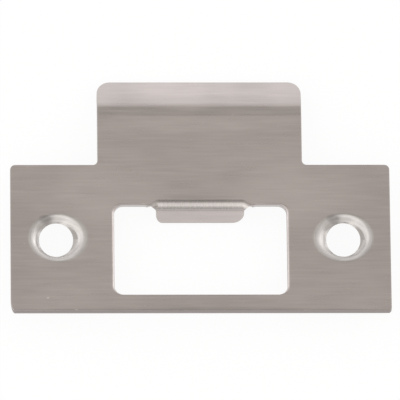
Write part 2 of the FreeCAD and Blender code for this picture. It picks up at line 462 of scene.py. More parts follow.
@dataclass(frozen=True)
class Lip:
    """The lip: a flat run, a shallow crease, a short facet, a bend and a sloping flange."""

    sheet: Sheet
    width: float = 37.7
    root: float = 0.85
    run: float = 9.6
    crease_angle: float = math.radians(9)
    crease_inner: float = 0.3
    facet: float = 1.56
    angle: float = math.radians(27.5)
    bend_inner: float = 2.5
    flange: float = 5.558
    corner_across: float = 2.4
    corner_along: float = 3.15
    row_degrees: float = 2.0

    @property
    def start(self) -> float:
        """Where the crease starts, along Y."""
        return self.sheet.half_height + self.run

    def stretches(self) -> list[tuple[float, float]]:
        """The crease, the facet, the bend and the flange, measured on the finished face.

        Returns:
            the length and the turn of each.
        """
        crease = (self.crease_inner + self.sheet.thickness) * self.crease_angle
        turn = self.angle - self.crease_angle
        bend = (self.bend_inner + self.sheet.thickness) * turn
        return [(crease, self.crease_angle), (self.facet, 0), (bend, turn), (self.flange, 0)]

    @property
    def tip(self) -> float:
        """Where the lip ends before it is folded, along Y."""
        return self.start + sum(length for length, turn in self.stretches())

    def rows(self) -> list[float]:
        """The lines across the lip that the folds need.

        Returns:
            the place of each, along Y.
        """
        found = []
        y = self.start
        for length, turn in self.stretches()[:-1]:
            steps = max(1, round(math.degrees(turn) / self.row_degrees))
            found += [y + length * step / steps for step in range(steps)]
            y += length
        return found + [y]

    def fold(self, y: float, depth: float) -> tuple[float, float]:
        """Where a point of the flat sheet goes.

        Args:
            y: its place on the flat sheet.
            depth: how deep it is under the finished face.

        Returns:
            its place and height once folded.
        """
        at_y = self.start
        at_z = self.sheet.thickness
        slope = 0.0
        left = y - self.start
        for length, turn in (*self.stretches()[:-1], (math.inf, 0)):
            here = min(left, length)
            if turn:
                radius = length / turn
                end = slope + here / radius
                at_y += radius * (math.sin(end) - math.sin(slope))
                at_z += radius * (math.cos(end) - math.cos(slope))
                slope = end
            else:
                at_y += here * math.cos(slope)
                at_z -= here * math.sin(slope)
            left -= here
            if left <= 0:
                break
        return at_y - depth * math.sin(slope), at_z - depth * math.cos(slope)


@dataclass(frozen=True)
class Opening:
    """The latch opening."""

    sheet: Sheet
    length: float = 31.75
    height: float = 17.75
    margin: float = 3.1125
    corner: float = 1.7
    rim: float = 1.0

    @property
    def half(self) -> float:
        """Half of its length."""
        return self.length / 2

    @property
    def bottom(self) -> float:
        """Its lower edge, along Y."""
        return self.margin - self.sheet.half_height

    @property
    def top(self) -> float:
        """Its upper edge, along Y."""
        return self.bottom + self.height

    def upright(self, x: float, y: float) -> float:
        """How far its outline faces along X.

        Args:
            x: a place near the outline.
            y: the same, along Y.

        Returns:
            1 beside the upright sides, and 0 beside the level ones and elsewhere.
        """
        if abs(x) > self.half + self.rim or not self.bottom - self.rim < y < self.top + self.rim:
            return 0.0
        aside = max(0.0, abs(x) - self.half + self.corner)
        above = max(0.0, abs(y - (self.bottom + self.top) / 2) - self.height / 2 + self.corner)
        return aside * aside / (aside * aside + above * above) if aside else 0.0


@dataclass(frozen=True)
class Tab:
    """The tab bent back from the opening's upper edge."""

    sheet: Sheet
    opening: Opening
    width: float = 16.2
    flat: float = 3.3
    angle: float = math.radians(60)
    bend_inner: float = 0.45
    setback: float = 1.025
    root_across: float = 2.1
    root_along: float = 1.4
    root_profile: float = 0.37
    root_inside: float = 0.5
    root_outside: float = 1.65
    roll_fade: float = 1.5
    edge_break: float = 0.07
    corner_left: float = 1.2
    corner_left_along: float = 2.0
    corner_right: float = 2.2

    @property
    def half(self) -> float:
        """Half of the tab's width."""
        return self.width / 2

    @property
    def root(self) -> float:
        """Where the root fillets meet the opening's edge, along X."""
        return self.half + self.root_across

    @property
    def reach(self) -> float:
        """Where the bend has died out beside the tab, along X."""
        return self.half + self.root_outside

    @property
    def radius(self) -> float:
        """The bend's radius on the finished face."""
        return self.bend_inner + self.sheet.thickness

    @property
    def start(self) -> float:
        """Where the bend starts, along Y."""
        return self.opening.top + self.setback

    @property
    def bend(self) -> float:
        """The bend's length on the finished face."""
        return self.radius * self.angle

    @property
    def tip(self) -> float:
        """Where the tab ends before it is folded, along Y."""
        return self.start - self.bend - self.flat

    def share(self, x: float) -> float:
        """How far the bend line stands off the opening's edge: 1 across the tab, 0 past its roots."""
        t = min(1.0, max(0.0, (self.reach - abs(x)) / (self.reach - self.half + self.root_inside)))
        return t * t * (3 - 2 * t)

    def fold(self, x: float, y: float, depth: float) -> tuple[float, float]:
        """Where a point of the flat sheet goes.

        Args:
            x: its place across the tab.
            y: its place along Y on the flat sheet.
            depth: how deep it is under the finished face.

        Returns:
            its place along Y and its height once folded.
        """
        start = self.start - self.setback * (1 - self.share(x))
        past = start - y
        if past <= 0:
            return y, self.sheet.thickness - depth
        turn = min(past, self.bend) / self.radius
        left = max(0.0, past - self.bend)
        r = self.radius - depth
        at_y = start - r * math.sin(turn) - left * math.cos(turn)
        at_z = self.sheet.thickness - self.radius + r * math.cos(turn) - left * math.sin(turn)
        return at_y, at_z


@dataclass(frozen=True)
class Flank:
    """A dimple's wall on one side, in section: a rolled rim, then a straight slope down to the floor."""

    mouth: float
    depth: float
    rim: float
    slope: float

    def radius(self, share: float) -> float:
        """How far the wall is from the dimple's centre.

        Args:
            share: how far down the wall, 0 at the mouth and 1 at the floor.

        Returns:
            the distance there.
        """
        sunk = share * self.depth
        rolled = self.rim * (1 - math.cos(self.slope))
        if sunk < rolled:
            return self.mouth - self.rim * math.sin(math.acos(1 - sunk / self.rim))
        return self.mouth - self.rim * math.sin(self.slope) - (sunk - rolled) / math.tan(self.slope)


@dataclass(frozen=True)
class Dimple:
    """A pressed dimple with a narrow floor round its screw hole, deeper above the hole than below it."""

    sheet: Sheet
    hole_x: float
    left: Flank
    right: Flank
    top: Flank = Flank(4.88, 1.0, 1.1, math.radians(40))
    bottom: Flank = Flank(5.04, 0.56, 2.0, math.radians(36))
    hole_along: float = 3.14
    hole_across: float = 3.39
    hole_lower: float = 0.17
    hole_edge: float = 0.03
    land: float = 0.2
    hole_break: float = math.radians(30)
    dish: float = 0.115
    wall: float = 1.15
    floor: float = 1.05
    back_rim: float = 0.6
    collar: float = 0.375
    around: int = 128
    wall_steps: int = 18
    back_steps: int = 10

    @property
    def x(self) -> float:
        """The dimple's centre, along X."""
        return self.hole_x + (self.right.mouth - self.left.mouth) / 2

    @property
    def lower(self) -> float:
        """How far the dimple's centre is under the hole line."""
        return (self.bottom.mouth - self.top.mouth) / 2

    @property
    def mouth(self) -> float:
        """Half of the dimple's width at the finished face, along X."""
        return (self.left.mouth + self.right.mouth) / 2

    @property
    def depth(self) -> float:
        """How deep the floor is, level with the hole's centre."""
        return (self.top.depth + self.bottom.depth) / 2

    @property
    def floor_z(self) -> float:
        """The floor's height, level with the hole's centre."""
        return self.sheet.thickness - self.depth

    def lean(self, share: float) -> float:
        """How far the dimple leans, at a share of its depth."""
        across = self.top.radius(share) + self.bottom.radius(share)
        return math.asin(share * (self.top.depth - self.bottom.depth) / across)

    def back_radius(self, z: float) -> float:
        """The radius of the cone behind the dimple.

        Args:
            z: the height to read it at.

        Returns:
            the radius there.
        """
        slope = self.top.slope
        r = (self.left.radius(1) + self.right.radius(1)) / 2 + self.wall * math.sin(slope)
        at = self.floor_z - self.wall * math.cos(slope)
        return r + (z - at) / math.tan(slope)

    def back_rim_radius(self) -> float:
        """Where the flat back starts to turn into the cone."""
        return self.back_radius(0) + self.back_rim * math.tan(self.top.slope / 2)

    @property
    def outside(self) -> float:
        """The radius of the pressed patch of sheet."""
        return max(self.mouth, self.back_rim_radius()) + self.collar

    def rings(self) -> list[tuple[Vec, float, float, float, Surface]]:
        """The rings from the finished face round to the back.

        Returns:
            for each its centre, its radii along X and Y, its lean and the surface that leads to it.
        """
        found = []
        for step in range(self.wall_steps + 1):
            share = (step / self.wall_steps)**2
            west, east = self.left.radius(share), self.right.radius(share)
            up, down = self.top.radius(share), self.bottom.radius(share)
            z = self.sheet.thickness - share * self.depth
            centre = (self.hole_x + (east - west) / 2, (up - down) / 2, z)
            found.append((centre, (east + west) / 2, (up + down) / 2, self.lean(share), Surface.FACE))
        low = self.floor_z - self.dish
        land_z = self.floor_z - self.land
        back_z = self.floor_z - self.floor
        wider = (land_z - back_z) * math.tan(self.hole_break)
        for out, z, surface in ((self.hole_edge, low, Surface.FACE), (0, low - self.hole_edge, Surface.FACE),
                                (0, land_z, Surface.SHEARED), (wider, back_z, Surface.SHEARED)):
            centre = (self.hole_x, -self.hole_lower, z)
            found.append((centre, self.hole_along + out, self.hole_across + out, self.lean(1), surface))
        r = self.back_radius(back_z)
        found.append(((self.x, -self.lower, back_z), r, r, self.lean(1), Surface.BACK))
        for step in range(self.back_steps, -1, -1):
            turn = self.top.slope * step / self.back_steps
            r = self.back_rim_radius() - self.back_rim * math.sin(turn)
            z = -self.back_rim * (1 - math.cos(turn))
            found.append(((self.x, -self.lower, z), r, r, self.lean(1) * z / back_z, Surface.BACK))
        found.append(((self.x, -self.lower, 0.0), self.outside, self.outside, 0.0, Surface.BACK))
        return found


@dataclass
class StrikePlate:
    """The whole plate: a blank cut to its outline, pierced, rolled along its edges, folded and dimpled."""

    sheet: Sheet = field(default_factory=Sheet)
    hole_x: float = 26.4
    hole_aside: float = -0.14
    dimple_depth: float = 0.78
    dimple_slope: float = math.radians(40)
    small_corner_steps: int = 10
    corner_steps: int = 12
    root_steps: int = 18
    lip_corner_steps: int = 20
    bend_rows: int = 24
    root_columns: int = 14
    roll_steps: int = 6
    tab_margin: float = 0.5
    smooth_angle: float = math.radians(32)

    def __post_init__(self) -> None:
        """Sets out the features on the sheet."""
        self.lip = Lip(self.sheet)
        self.opening = Opening(self.sheet)
        self.tab = Tab(self.sheet, self.opening)
        near, wide, soft, plain = (Flank(mouth, self.dimple_depth, rim, self.dimple_slope)
                                   for mouth, rim in ((5.32, 2.4), (6.1, 3.2), (5.98, 4.0), (6.0, 3.0)))
        self.dimples = [Dimple(self.sheet, self.hole_aside - self.hole_x, near, wide),
                        Dimple(self.sheet, self.hole_aside + self.hole_x, soft, plain)]

    def build(self) -> bpy.types.Object:
        """Makes the plate.

        Returns:
            the finished object.
        """
        outline = self.cut_outline()
        window = self.cut_window()
        rims = [self.cut_rim(dimple) for dimple in self.dimples]
        blank = self.fill_blank([outline, window, *rims])
        self.roll_edges(blank)
        self.add_rows(blank)
        self.fold(blank)
        for dimple in self.dimples:
            self.press(blank, dimple)
        self.smooth(blank)
        return blank.obj

    def cut_outline(self) -> Bench:
        """Cuts the T-shaped outline of the flat blank.

        Returns:
            the bench that holds it.
        """
        s = self.sheet
        lip = self.lip
        half = lip.width / 2
        bench = Bench("plate_outline")
        bench.rectangle((-s.half_length, -s.half_height), (s.half_length, s.half_height), s.thickness)
        for x in (-half, half):
            bench.everything()
            bench.split((x, 0, 0), (1, 0, 0))
        top = s.half_height
        bench.edges(lambda a, b: min(a.y, b.y) > top - NEAR and max(abs(a.x), abs(b.x)) < half + NEAR)
        rise = lip.tip - top
        bpy.ops.mesh.extrude_edges_move(TRANSFORM_OT_translate={"value": (0, rise, 0)})
        bench.everything()
        bpy.ops.mesh.dissolve_limited(angle_limit=FLAT_ANGLE)
        small = self.small_corner_steps
        for side in (-1, 1):
            bench.round_corner(side * s.half_length, top, s.top_corner, s.top_corner, small)
            bench.round_corner(side * half, top, lip.root, lip.root, small)
            bench.round_corner(side * half, lip.tip, lip.corner_across, lip.corner_along,
                               self.lip_corner_steps)
        bench.round_corner(-s.half_length, -top, s.worn_corner_across, s.worn_corner_along, self.corner_steps)
        bench.round_corner(s.half_length, -top, s.bottom_corner, s.bottom_corner, small)
        return bench

    def cut_window(self) -> Bench:
        """Cuts the opening's outline, with the flat tab standing into it.

        Returns:
            the bench that holds it.
        """
        o = self.opening
        tab = self.tab
        bench = Bench("window_outline")
        bench.rectangle((-o.half, o.bottom), (o.half, o.top), self.sheet.thickness)
        for x in (-tab.half, tab.half):
            bench.everything()
            bench.split((x, 0, 0), (1, 0, 0))
        bench.everything()
        bench.split((0, tab.tip, 0), (0, 1, 0))
        bench.faces(lambda co, no: abs(co.x) < tab.half and co.y > tab.tip)
        bpy.ops.mesh.delete(type="FACE")
        bench.everything()
        bpy.ops.mesh.dissolve_limited(angle_limit=FLAT_ANGLE)
        steps = self.corner_steps
        for side in (-1, 1):
            for y in (o.bottom, o.top):
                bench.round_corner(side * o.half, y, o.corner, o.corner, steps)
            bench.round_corner(side * tab.half, o.top, tab.root_across, tab.root_along, self.root_steps,
                               tab.root_profile)
        bench.round_corner(-tab.half, tab.tip, tab.corner_left, tab.corner_left_along, steps)
        bench.round_corner(tab.half, tab.tip, tab.corner_right, tab.corner_right, steps)
        return bench

    def cut_rim(self, dimple: Dimple) -> Bench:
        """Cuts the circle that a dimple takes out of the blank.

        Args:
            dimple: the dimple.

        Returns:
            the bench that holds the circle.
        """
        bench = Bench("dimple_outline")
        bench.edit()
        bpy.ops.mesh.primitive_circle_add(vertices=dimple.around, radius=dimple.outside,
                                          location=(dimple.x, -dimple.lower, self.sheet.thickness))
        return bench

    def fill_blank(self, outlines: list[Bench]) -> Bench:
        """Joins the outlines and makes the sheet between them.

        Args:
            outlines: the outer outline first.

        Returns:
            the flat blank with its thickness.
        """
        blank = outlines[0]
        for bench in outlines:
            bench.everything()
            bpy.ops.mesh.delete(type="ONLY_FACE")
            bench.leave()
        blank.activate()
        for bench in outlines[1:]:
            bench.obj.select_set(True)
        bpy.ops.object.join()
        blank.obj.name = blank.obj.data.name = "plate"
        for _ in Surface:
            blank.obj.data.materials.append(None)
        blank.everything()
        bpy.ops.mesh.fill(use_beauty=True)
        for x in (0.0, *(dimple.x for dimple in self.dimples)):
            blank.everything()
            blank.split((x, 0, 0), (1, 0, 0))
            bpy.ops.mesh.mark_seam(clear=False)
        blank.everything()
        bpy.ops.mesh.dissolve_limited(angle_limit=FLAT_ANGLE, delimit={"SEAM"})
        blank.everything()
        bpy.ops.mesh.mark_seam(clear=True)
        drop = (0, 0, -self.sheet.thickness)
        bpy.ops.mesh.extrude_region_move(TRANSFORM_OT_translate={"value": drop})
        blank.everything()
        bpy.ops.mesh.normals_make_consistent(inside=False)
        blank.faces(lambda co, no: abs(no.z) < WALL)
        blank.mark(Surface.SHEARED)
        blank.faces(lambda co, no: no.z < -WALL)
        blank.mark(Surface.BACK)
        blank.leave()
        return blank

    def roll_edges(self, blank: Bench) -> None:
        """Rolls the finished face's edges over, less and less towards the tab.

        Args:
            blank: the flat blank.
        """
        s = self.sheet
        tab = self.tab
        blank.leave()
        mesh = blank.obj.data
        weights = mesh.attributes.new("bevel_weight_edge", "FLOAT", "EDGE")
        walls = [0] * len(mesh.edges)
        index = {edge.key: edge.index for edge in mesh.edges}
        for polygon in mesh.polygons:
            if abs(polygon.normal.z) < WALL:
                for key in polygon.edge_keys:
                    walls[index[key]] += 1
        for edge in mesh.edges:
            a, b = (mesh.vertices[i].co for i in edge.vertices)
            if walls[edge.index] != 1 or min(a.z, b.z) < s.thickness - NEAR:
                continue
            middle = (a + b) / 2
            if any((middle.xy - Vector((d.x, -d.lower))).length < d.outside + MARGIN for d in self.dimples):
                continue
            full = s.roll + (s.upright_roll - s.roll) * self.opening.upright(middle.x, middle.y)
            if tab.tip - MARGIN < middle.y < self.opening.top + MARGIN:
                fade = (abs(middle.x) - tab.root) / tab.roll_fade
                full = max(tab.edge_break, full * min(1.0, fade))
            weights.data[edge.index].value = full / s.upright_roll
        blank.apply("BEVEL", width=s.upright_roll, segments=self.roll_steps, limit_method="WEIGHT",
                    use_clamp_overlap=False, loop_slide=True, material=Surface.FACE.value)
        for v in blank.obj.data.vertices:
            sunk = s.thickness - v.co.z
            if 0 < sunk < s.upright_roll + MARGIN:
                level = s.roll_depth / s.roll
                steep = s.upright_roll_depth / s.upright_roll
                v.co.z = s.thickness - sunk * (level + (steep - level) * self.opening.upright(v.co.x, v.co.y))
        for polygon in blank.obj.data.polygons:
            if polygon.normal.z > LEVEL and polygon.area > s.thickness**2:
                for i in polygon.vertices:
                    blank.obj.data.vertices[i].co.z = s.thickness

    def add_rows(self, blank: Bench) -> None:
        """Splits the blank along the lines that its folds need.

        Args:
            blank: the flat blank, with its edges rolled.
        """
        tab = self.tab
        for y in self.lip.rows():
            blank.everything()
            blank.split((0, y, 0), (0, 1, 0))
        low = tab.tip - self.tab_margin

        def in_zone(co: Vector, no: Vector) -> bool:
            """Whether a face is in the tab or its roots."""
            return abs(co.x) < tab.reach and low < co.y < tab.start

        for x in (-tab.reach, tab.reach):
            blank.faces(lambda co, no: low < co.y < self.lip.start)
            blank.split((x, 0, 0), (1, 0, 0))
        blank.faces(lambda co, no: low < co.y and abs(co.x) < tab.reach)
        blank.split((0, tab.start, 0), (0, 1, 0))
        for step in range(1, self.bend_rows + 1):
            blank.faces(in_zone)
            blank.split((0, tab.start - tab.bend * step / self.bend_rows, 0), (0, 1, 0))
        inner = tab.half - tab.root_inside
        for step in range(self.root_columns):
            for side in (-1, 1):
                blank.faces(in_zone)
                x = inner + (tab.reach - inner) * step / self.root_columns
                blank.split((side * x, 0, 0), (1, 0, 0))
        blank.leave()

    def fold(self, blank: Bench) -> None:
        """Folds the lip and the tab.

        Args:
            blank: the flat blank, with the lines of its folds.
        """
        tab = self.tab
        lip = self.lip
        mesh = blank.bm()
        for v in mesh.verts:
            x, y, z = v.co
            depth = self.sheet.thickness - z
            if y > lip.start:
                y, z = lip.fold(y, depth)
            elif abs(x) < tab.reach and tab.tip - self.tab_margin < y < tab.start:
                y, z = tab.fold(x, y, depth)
            v.co = Vector((x, y, z))
        bmesh.update_edit_mesh(blank.obj.data)
        blank.leave()

    def press(self, blank: Bench, dimple: Dimple) -> None:
        """Presses one dimple, ring by ring from the finished face to the back.

        Args:
            blank: the folded blank, with a round gap where the dimple goes.
            dimple: the dimple to press.
        """
        top = self.sheet.thickness
        at = (dimple.x, -dimple.lower, top)
        middle = Vector(at).xy
        along = across = gap = dimple.outside
        flat_side = gap * (1 - math.cos(math.pi / dimple.around)) + NEAR

        def on_rim(co: Vector) -> bool:
            """Whether a vertex is on the round gap's upper edge."""
            return abs((co.xy - middle).length - gap) < NEAR and co.z > top - NEAR

        blank.faces(lambda co, no: abs((co.xy - middle).length - gap) < flat_side and abs(no.z) < WALL)
        bpy.ops.mesh.delete(type="FACE")
        blank.edges(lambda a, b: on_rim(a) and on_rim(b))
        lean = 0.0
        for centre, to_along, to_across, to_lean, surface in dimple.rings():
            move = tuple(b - a for a, b in zip(at, centre))
            bpy.ops.mesh.extrude_edges_move(TRANSFORM_OT_translate={"value": move})
            bpy.ops.transform.resize(value=(to_along / along, to_across / across, 1), center_override=centre)
            bpy.ops.transform.rotate(value=to_lean - lean, orient_axis="X", center_override=centre)
            blank.mark_beside(surface)
            at, along, across, lean = centre, to_along, to_across, to_lean
        blank.everything()
        bpy.ops.mesh.remove_doubles(threshold=NEAR)
        blank.leave()

    def smooth(self, blank: Bench) -> None:
        """Brings the plate to its size in metres, with curves shaded smooth and flats kept flat.

        Args:
            blank: the folded and pressed blank.
        """
        blank.everything()
        bpy.ops.mesh.normals_make_consistent(inside=False)
        blank.leave()
        blank.obj.data.transform(Matrix.Scale(MM, 4))
        blank.activate()
        bpy.ops.object.shade_smooth_by_angle(angle=self.smooth_angle)
        blank.apply("WEIGHTED_NORMAL", mode="FACE_AREA", weight=100, keep_sharp=True)


@dataclass(frozen=True)
class PaintedLightPatch:
    """A soft oval of painted light, where its strength is positive, and of painted shade, where it is
    negative, on the face, in millimetres.
    """

    x: float
    y: float
    along: float
    across: float
    strength: float

    def shade(self, x: Value, y: Value) -> Value:
        """How much lighter the face is at a place.

        Args:
            x: the place along the plate.
            y: the place across it.

        Returns:
            what the patch adds there.
        """
        aside = (x - self.x) / self.along
        above = (y - self.y) / self.across
        return (aside * aside + above * above).ramp(1, 0) * self.strength


@dataclass(frozen=True)
class FinishedFace:
    """Satin nickel: brushed lengthwise, with press marks in the dimples and on the tab's bend, and with
    painted light and shade in patches, along the tab's crease, on its flat and in the lighter pressed colour.
    """

    plate: StrikePlate
    colour: Colour = (0.46, 0.418, 0.402, 1)
    # the pressed metal's more neutral tint, also lighter than the face: partly a painted highlight in the
    # dimples and on the bend
    pressed_and_highlight_colour: Colour = (0.49, 0.467, 0.452, 1)
    roughness: float = 0.29
    relief: float = 0.0028
    brush: Grain = Grain((1 / 9, 1 / 0.52, 1 / 0.52), shade=0.23, spread=0.12)
    brush_darkest: float = -0.1
    brush_pressed: float = 1.4
    lines_left: float = 0.35
    hair: Grain = Grain((0.14, 7, 7), 1, 0.5, 7.3, shade=0.12, height=0.15)
    cloud: Grain = Grain((0.05, 0.22, 0.22), 2, 0.5, 3.1, shade=0.16)
    blotch: Grain = Grain((0.2, 0.45, 0.45), 1, 0.4, 5.7, shade=0.10, spread=0.04)
    speck: Grain = Grain((1.6, 2.4, 2.4), 1, 0.4, 9.2, shade=0.14)
    speck_ends: tuple[float, float] = (0.24, 0.31)
    sheen: Grain = Grain((0.12, 0.05, 0.05), 1, 0.5, 8.4, shade=0.30)
    sheen_fade: float = 3.0
    ring: Grain = Grain((1, 1, 1), 3, 0.6, shade=0.6, height=2.2)
    ring_pitch: float = 0.36
    ring_drift: float = 0.3
    pressed_ends: tuple[float, float] = (0.1, -0.4)
    pressed_spread: float = 0.06
    streak: Grain = Grain((1 / 0.16, 0.8, 0.8), 2, 0.6, 1.7, shade=0.4, height=2.2)
    tab_ends: tuple[float, float] = (-0.2, -0.4)
    tab_soft: float = 0.2
    bent_top: float = 0.03
    bent_soft: float = 0.15
    bent_shade: float = -0.12
    bent_tint: float = 0.7
    bent_spread: float = -0.08
    # painted light: the tab's flat is made lighter, standing in for a brighter reflection there
    flat_painted_light: float = 0.18
    flat_fade: float = 0.3
    # painted shade: a dark line along the foot of the tab's bend, uneven along its length
    crease: Grain = Grain((0.9, 0.2, 0.2), 2, 0.5, 6.4, shade=-0.07)
    crease_width: float = 0.3
    crease_drop: float = 0.25
    crease_trim: float = 0.03
    crease_uneven: float = 1.6
    # painted shade: the span where the dark line at the bend's foot is deeper
    crease_deep_shade: tuple[float, float] = (-2.3, -0.1)
    crease_deep_shade_soft: float = 0.8
    crease_deep_shade_strength: float = 0.6
    # painted light and shade: lighter and darker patches where light falls unevenly over the face, along the
    # lip's crease and bend, above the tab's bend, at the ends, along the bottom edge and round the dimples'
    # rims and floors; the smallest are lighter specks
    painted_light_patches: tuple[PaintedLightPatch, ...] = (
        PaintedLightPatch(0, 22.3, 26, 2.0, 0.07), PaintedLightPatch(-17, 8, 14, 8, 0.10), PaintedLightPatch(17, 8, 14, 8, 0.10),
        PaintedLightPatch(-25, -12.5, 9, 4, 0.06), PaintedLightPatch(2, -12.5, 17, 3.5, -0.05), PaintedLightPatch(0, 27.2, 30, 1.9, -0.08),
        PaintedLightPatch(0, 7.95, 9.5, 0.5, -0.07), PaintedLightPatch(-33.5, 0, 4.5, 13, -0.05), PaintedLightPatch(33.5, 0, 4.5, 13, -0.05),
        PaintedLightPatch(0, -14.05, 38, 0.55, -0.11), PaintedLightPatch(-28.1, -11.8, 0.3, 0.25, 0.35),
        PaintedLightPatch(-22.9, -14.1, 0.4, 0.15, 0.3), PaintedLightPatch(6.2, 24.2, 0.3, 0.2, 0.15),
        PaintedLightPatch(-28.5, 3.65, 1.5, 1.0, -0.3), PaintedLightPatch(-27.4, 4.1, 0.9, 0.5, -0.1),
        PaintedLightPatch(24.4, 3.7, 1.5, 1.0, -0.3), PaintedLightPatch(25.4, 4.0, 0.8, 0.5, -0.12),
        PaintedLightPatch(-29.95, -0.3, 0.4, 1.7, -0.4), PaintedLightPatch(22.75, -0.3, 0.4, 1.7, -0.3))

    def material(self) -> bpy.types.Material:
        """Makes the material.

        Returns:
            the material.
        """
        made = bpy.data.materials.new("satin_nickel_face")
        nodes = Nodes(made)
        place = nodes.place()
        x, y, z = nodes.axes(place)
        pressed, rings = self.dimple_marks(nodes, x, y)
        bent, streaks, crease, flat = self.tab_marks(nodes, place, x, y, z)
        brush = nodes.noise(place, self.brush).math("MAXIMUM", self.brush_darkest)
        hair, cloud, blotch = (nodes.noise(place, grain) for grain in (self.hair, self.cloud, self.blotch))
        specks = nodes.noise(place, self.speck).ramp(*self.speck_ends)
        lip = self.plate.lip.start
        sheen = nodes.noise(place, self.sheen) * y.ramp(lip, lip + self.sheen_fade)
        plain = 1 - pressed.math("MAXIMUM", bent)
        lines = self.brush.shade * brush + self.hair.shade * hair
        lines = lines * (self.lines_left + (1 - self.lines_left) * plain)
        shade = 1 + lines + self.cloud.shade * cloud + self.blotch.shade * blotch
        shade = shade + self.speck.shade * specks + self.sheen.shade * sheen
        shade = shade + pressed * (self.ring.shade * rings)
        shade = shade + bent * (self.streak.shade * streaks + self.bent_shade)
        # painted shade along the tab's crease and painted light on its flat
        shade = shade + self.crease.shade * crease + self.flat_painted_light * flat
        # adds the painted light and shade of the patches
        for patch in self.painted_light_patches:
            shade = shade + patch.shade(x, y)
        height = (brush + self.hair.height * hair) * plain + self.streak.height * bent * streaks
        height = height + pressed * (self.ring.height * rings + self.brush_pressed * brush)
        rough = self.roughness + self.brush.spread * brush + self.blotch.spread * blotch
        rough = rough + self.pressed_spread * pressed + self.bent_spread * bent
        # tints towards the pressed colour, which carries a painted highlight
        tint = nodes.tint(pressed.math("MAXIMUM", self.bent_tint * bent), self.colour, self.pressed_and_highlight_colour)
        nodes.metal(nodes.scaled(tint, shade), rough, height, self.relief)
        return made

    def dimple_marks(self, nodes: Nodes, x: Value, y: Value) -> tuple[Value, Value]:
        """The marks that the forming punch left round the holes.

        Args:
            nodes: the material's tree.
            x: the place along the plate.
            y: the place across it.

        Returns:
            where the dimples are, and the rings in them.
        """
        left, right = self.plate.dimples
        off = x - right.x + x.math("LESS_THAN", 0.0) * (right.x - left.x)
        across = y * (left.mouth / left.top.mouth)
        r = (off * off + across * across).math("SQRT")
        sockets = {0: r / self.ring_pitch, 1: off * self.ring_drift, 2: y * self.ring_drift}
        at = nodes.add("ShaderNodeCombineXYZ", sockets=sockets)
        outer, inner = self.pressed_ends
        return r.ramp(left.mouth + outer, left.mouth + inner), nodes.noise(at, self.ring)

    def tab_marks(self, nodes: Nodes, place: Value, x: Value, y: Value, z: Value) -> tuple[Value, ...]:
        """The stretch marks on the tab's bend, the painted shade along the crease at its foot and the painted
        light on the tab's flat.

        Args:
            nodes: the material's tree.
            place: the place on the piece.
            x: the same, along the plate.
            y: across it.
            z: its height.

        Returns:
            where the bend is, the streaks down it, the crease's painted shade and where the tab's flat gets
            painted light.
        """
        tab = self.plate.tab
        foot = tab.sheet.thickness - tab.radius * (1 - math.cos(tab.angle))
        low = foot - self.crease_drop
        top = tab.sheet.thickness - self.bent_top
        outer, inner = self.tab_ends
        beside = abs(x).ramp(tab.root + outer, tab.half + inner) * y.band(tab.tip, tab.start, self.tab_soft)
        bent = beside * z.band(foot, top, self.bent_soft)
        streaks = nodes.noise(place, self.streak)
        uneven = 1 + self.crease_uneven * nodes.noise(place, self.crease)
        crease_deep_shade = 1 + self.crease_deep_shade_strength * x.band(*self.crease_deep_shade, self.crease_deep_shade_soft)
        half = self.crease_width / 2
        # painted shade along the crease at the foot of the tab's bend
        crease = beside * z.band(low - half, low + half - self.crease_trim, half) * uneven * crease_deep_shade
        return bent, streaks, crease, beside * z.ramp(low, low - self.flat_fade)


@dataclass(frozen=True)
class ShearedEdge:
    """The cut walls: upright tearing marks from the blanking punch, lighter round the opening as a painted
    reflection, darker on the outer walls as painted shade, and darker towards the top.
    """

    plate: StrikePlate
    colour: Colour = (0.30, 0.260, 0.251, 1)
    # painted reflection: the lighter colour of the walls round the opening
    painted_reflection_colour: Colour = (0.56, 0.522, 0.505, 1)
    rim: float = 0.5
    rim_soft: float = 0.2
    dark_above: float = 1.15
    dark_soft: float = 0.2
    root_inside: float = 0.6
    root_outside: float = 0.5
    root_soft: float = 0.4
    root_below: tuple[float, float] = (2.4, 1.6)
    # painted shade: near the tab's roots most of the painted reflection is taken away
    root_painted_shade: float = 0.75
    outer_shade: float = -0.2
    outer_ends: tuple[float, float] = (0.6, 1.4)
    roughness: float = 0.36
    tear: Grain = Grain((5, 5, 0.5), 3, 0.6, shade=0.18, spread=0.2)
    tear_depth: float = 0.006
    cloud: Grain = Grain((0.4, 0.4, 0.4), 2, 0.5, 4.2, shade=0.1)

    def material(self) -> bpy.types.Material:
        """Makes the material.

        Returns:
            the material.
        """
        made = bpy.data.materials.new("satin_nickel_edge")
        nodes = Nodes(made)
        place = nodes.place()
        x, y, z = nodes.axes(place)
        tear = nodes.noise(place, self.tear)
        cloud = nodes.noise(place, self.cloud)
        opening = self.plate.opening
        reach = opening.half + self.rim
        inside = abs(x).ramp(reach + self.rim_soft / 2, reach - self.rim_soft / 2)
        inside = inside * y.band(opening.bottom - self.rim, opening.top + self.rim, self.rim_soft)
        tab = self.plate.tab
        root = abs(x).band(tab.half - self.root_inside, tab.reach - self.root_outside, self.root_soft)
        low, high = self.root_below
        root = root * y.ramp(opening.top - low, opening.top - high)
        under = z.ramp(self.dark_above, self.dark_above - self.dark_soft)
        # painted reflection round the opening, below the dark top band and faded near the tab's roots
        painted_reflection = inside * under * (1 - self.root_painted_shade * root)
        painted_wall_colour = nodes.tint(painted_reflection, self.colour, self.painted_reflection_colour)
        shade = 1 + self.tear.shade * tear + self.cloud.shade * cloud
        shade = shade + self.outer_shade * (1 - inside) * z.ramp(*self.outer_ends)
        rough = self.roughness + self.tear.spread * tear
        nodes.metal(nodes.scaled(painted_wall_colour, shade), rough, tear, self.tear_depth)
        return made


